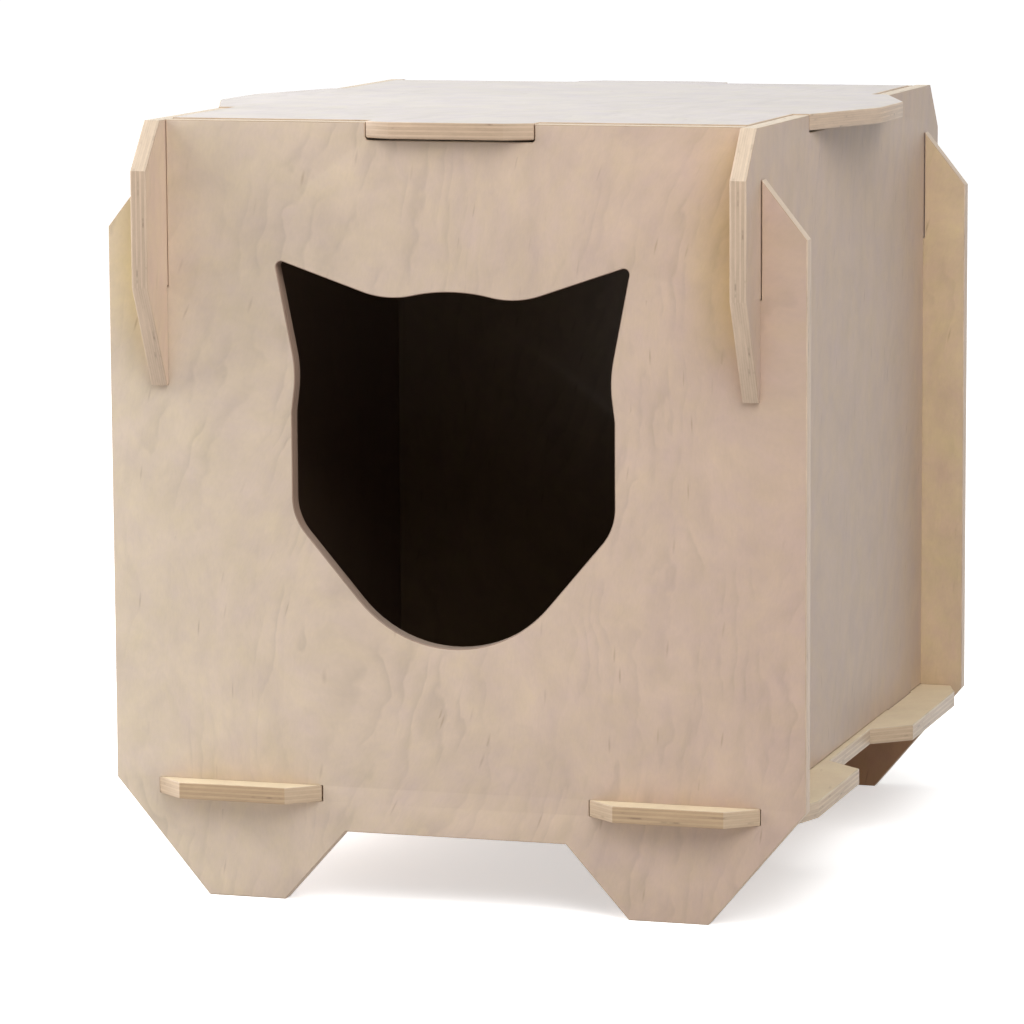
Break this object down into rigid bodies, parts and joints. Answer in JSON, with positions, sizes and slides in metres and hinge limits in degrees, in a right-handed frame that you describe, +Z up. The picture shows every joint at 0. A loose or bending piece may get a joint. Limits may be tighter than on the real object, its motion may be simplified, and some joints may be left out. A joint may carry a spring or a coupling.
{
  "type": "wooden cat house",
  "caption": "Slot-together plywood cat house: walls with hooked cross laps, a cat-head doorway, tenoned floor board on legs and a lift-off top board.",
  "frame": {"origin": "on the floor under the middle of the house", "axes": "+Z up, the doorway faces -Y, +X is to the right of someone who looks at the doorway"},
  "size_m": [0.39, 0.463, 0.426],
  "materials": {
    "birch_front": "matte",
    "birch_back": "matte",
    "birch_side": "matte",
    "birch_bottom": "matte",
    "birch_top": "matte"
  },
  "bodies": {
    "walls": {"front_wall": "birch_front", "back_wall": "birch_back", "left_side_wall": "birch_side", "right_side_wall": "birch_side", "bottom_board": "birch_bottom"},
    "top": {"top_board": "birch_top"}
  },
  "joints": [
    {"name": "top_lift", "type": "slide", "parent": "walls", "child": "top", "axis": [0, 0, 1], "range_m": [0, 0.12]}
  ]
}
